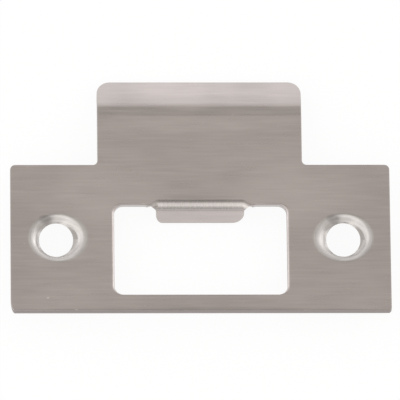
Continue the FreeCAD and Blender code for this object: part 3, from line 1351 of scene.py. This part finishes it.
@dataclass(frozen=True)
class PlainBack:
    """The back: plated like the face but left unbrushed, with a mill grain."""

    colour: Colour = (0.43, 0.392, 0.374, 1)
    roughness: float = 0.42
    mill: Grain = Grain((1.2, 3.5, 3.5), 4, 0.6, shade=0.12)
    mill_depth: float = 0.004
    cloud: Grain = Grain((0.12, 0.16, 0.16), 3, 0.55, 2.6, shade=0.16, spread=0.15)

    def material(self) -> bpy.types.Material:
        """Makes the material.

        Returns:
            the material.
        """
        made = bpy.data.materials.new("satin_nickel_back")
        nodes = Nodes(made)
        place = nodes.place()
        mill = nodes.noise(place, self.mill)
        cloud = nodes.noise(place, self.cloud)
        shade = 1 + self.mill.shade * mill + self.cloud.shade * cloud
        rough = self.roughness + self.cloud.spread * cloud
        nodes.metal(nodes.scaled(self.colour, shade), rough, mill, self.mill_depth)
        return made


@dataclass(frozen=True)
class Panel:
    """A soft lamp far from the plate, in degrees and as seen from it."""

    name: str
    azimuth: float
    elevation: float
    width: float
    height: float
    strength: float

    def hang(self, away: float) -> bpy.types.Object:
        """Makes the lamp.

        Args:
            away: its distance from the plate, in metres.

        Returns:
            the lamp object.
        """
        turn = math.radians(self.azimuth)
        rise = math.radians(self.elevation)
        to_lamp = Vector((math.sin(turn) * math.cos(rise), math.cos(turn) * math.cos(rise), math.sin(rise)))
        data = bpy.data.lights.new(self.name, "AREA")
        data.shape = "RECTANGLE"
        data.size = 2 * away * math.tan(math.radians(self.width / 2))
        data.size_y = 2 * away * math.tan(math.radians(self.height / 2))
        data.energy = self.strength * math.pi * data.size * data.size_y
        lamp = bpy.data.objects.new(self.name, data)
        lamp.location = to_lamp * away
        lamp.rotation_euler = to_lamp.to_track_quat("Z", "Y").to_euler()
        lamp.visible_camera = False
        bpy.context.scene.collection.objects.link(lamp)
        return lamp


@dataclass(frozen=True)
class Dip:
    """A darker gap in the tent, in degrees from +Y and down from the top."""

    azimuth: float
    half_width: float
    top: float
    bottom: float
    strength: float
    soft: float = 12

    def share(self, x: Value, y: Value, down: Value) -> Value:
        """The share of the light that is left in a direction.

        Args:
            x: the direction's part along X.
            y: the direction's part along Y.
            down: how far down from the top the direction is, in degrees.

        Returns:
            1 outside the gap, and less in it.
        """
        turn = math.radians(self.azimuth)
        level = (x * x + y * y).math("SQRT").math("MAXIMUM", TINY)
        facing = (x * math.sin(turn) + y * math.cos(turn)) / level
        ends = (math.cos(math.radians(self.half_width + self.soft)), math.cos(math.radians(self.half_width)))
        return 1 - facing.ramp(*ends) * down.band(self.top, self.bottom, self.soft) * self.strength


@dataclass(frozen=True)
class Studio:
    """A pale tent with a dim top, soft panels round it and a white floor."""

    dome: tuple[tuple[float, float], ...] = (
        (0, 0.2), (8, 0.4), (18, 0.80), (26, 0.83), (34, 0.92), (58, 1.1), (76, 1.4), (90, 1.42))
    dips: tuple[Dip, ...] = (
        Dip(0, 20, 31, 45, 0.55), Dip(125, 32, 55, 75, 0.28), Dip(180, 105, 62, 90, 0.3))
    dim_tint: Colour = (1.03, 0.99, 0.95, 1)
    dim_ends: tuple[float, float] = (0.7, 1.3)
    panels: tuple[Panel, ...] = (
        Panel("front_panel", 193, 46, 46, 42, 0.55),
        Panel("left_panel", 257, 25, 96, 44, 0.66),
        Panel("right_panel", 68, 20, 44, 40, 0.95))
    away: float = 0.6
    floor_size: float = 6.0
    floor_colour: Colour = (0.9, 0.9, 0.9, 1)
    floor_glow: float = 0.92
    floor_gap: float = 0.02

    def light(self) -> None:
        """Lights the dome and hangs the panels."""
        world = bpy.data.worlds.new("tent")
        bpy.context.scene.world = world
        nodes = Nodes(world)
        toward = nodes.add("ShaderNodeTexCoord", output="Generated")
        x, y, z = nodes.axes(toward)
        down = z.math("ARCCOSINE") * (180 / math.pi)
        level = self.dome[0][1]
        for (at, low), (to, high) in zip(self.dome, self.dome[1:]):
            sockets = {"Value": down, "From Min": at, "From Max": to, "To Min": 0.0, "To Max": high - low}
            level = nodes.add("ShaderNodeMapRange", sockets=sockets) + level
        for dip in self.dips:
            level = level * dip.share(x, y, down)
        tint = nodes.tint(level.ramp(*self.dim_ends), self.dim_tint, WHITE)
        sky = nodes.add("ShaderNodeBackground", sockets={"Color": tint, "Strength": level})
        nodes.add("ShaderNodeOutputWorld", sockets={"Surface": sky})
        for panel in self.panels:
            panel.hang(self.away)

    def lay_floor(self, lowest: float) -> bpy.types.Object:
        """Lays the floor just under the plate.

        Args:
            lowest: the height of the plate's lowest point, in metres.

        Returns:
            the floor object.
        """
        bench = Bench("floor")
        half = self.floor_size / 2
        bench.rectangle((-half, -half), (half, half), lowest - self.floor_gap * MM)
        bench.leave()
        made = bpy.data.materials.new("white_floor")
        nodes = Nodes(made)
        path = nodes.add("ShaderNodeLightPath")
        seen = path.output("Is Camera Ray").math("MAXIMUM", path.output("Is Glossy Ray"))
        seen = seen.math("MAXIMUM", path.output("Is Transmission Ray"))
        matte = nodes.add("ShaderNodeBsdfDiffuse", sockets={"Color": self.floor_colour})
        glow = nodes.add("ShaderNodeEmission", sockets={"Color": WHITE, "Strength": 1.0})
        mixed = nodes.add("ShaderNodeMixShader", sockets={0: seen * self.floor_glow, 1: matte, 2: glow})
        nodes.add("ShaderNodeOutputMaterial", sockets={"Surface": mixed})
        bench.obj.data.materials.append(made)
        bench.obj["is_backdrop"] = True
        return bench.obj


@dataclass(frozen=True)
class Viewpoint:
    """The photograph's camera, found from the plate's outline, in millimetres and degrees."""

    turn: float = -4.75
    tilt: float = 20.87
    roll: float = -0.68
    distance: float = 2000.0
    pixels_per_mm: float = 5.445
    centre_x: float = 200.63
    centre_y: float = 237.40
    image: int = 400
    sensor: float = 36.0

    def place(self, face_z: float) -> bpy.types.Object:
        """Makes the camera.

        Args:
            face_z: the height of the plate's finished face.

        Returns:
            the camera object.
        """
        tilt = math.radians(self.tilt)
        turn = math.radians(self.turn)
        roll = math.radians(self.roll)
        back = Vector((math.sin(tilt) * math.sin(turn), -math.sin(tilt) * math.cos(turn), math.cos(tilt)))
        level = Vector((0, 1, 0)).cross(back).normalized()
        upright = back.cross(level)
        right = math.cos(roll) * level + math.sin(roll) * upright
        up = -math.sin(roll) * level + math.cos(roll) * upright
        half = self.image / 2
        aside = right * ((half - self.centre_x) / self.pixels_per_mm)
        aside += up * ((self.centre_y - half) / self.pixels_per_mm)
        middle = Vector((0, 0, face_z)) + aside
        data = bpy.data.cameras.new("camera")
        data.sensor_width = self.sensor
        data.lens = self.sensor * self.distance * self.pixels_per_mm / self.image
        camera = bpy.data.objects.new("camera", data)
        bpy.context.scene.collection.objects.link(camera)
        axes = Matrix((right, up, back)).transposed().to_4x4()
        camera.matrix_world = Matrix.Translation((middle + back * self.distance) * MM) @ axes
        bpy.context.scene.camera = camera
        return camera


def main() -> None:
    """Builds the plate, the studio and the camera."""
    logging.basicConfig(level=logging.INFO)
    cad_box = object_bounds()
    plate = StrikePlate()
    piece = plate.build()
    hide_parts(NODE)
    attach(piece, BODY)
    for surface, finish in zip(Surface, (FinishedFace(plate), ShearedEdge(plate), PlainBack())):
        piece.data.materials[surface.value] = finish.material()
    log.info("plate: %d faces", len(piece.data.polygons))
    studio = Studio()
    studio.light()
    studio.lay_floor(cad_box[0][2])
    Viewpoint().place(plate.sheet.thickness)
    bpy.context.scene.view_settings.view_transform = "Standard"


if __name__ == "__main__":
    main()
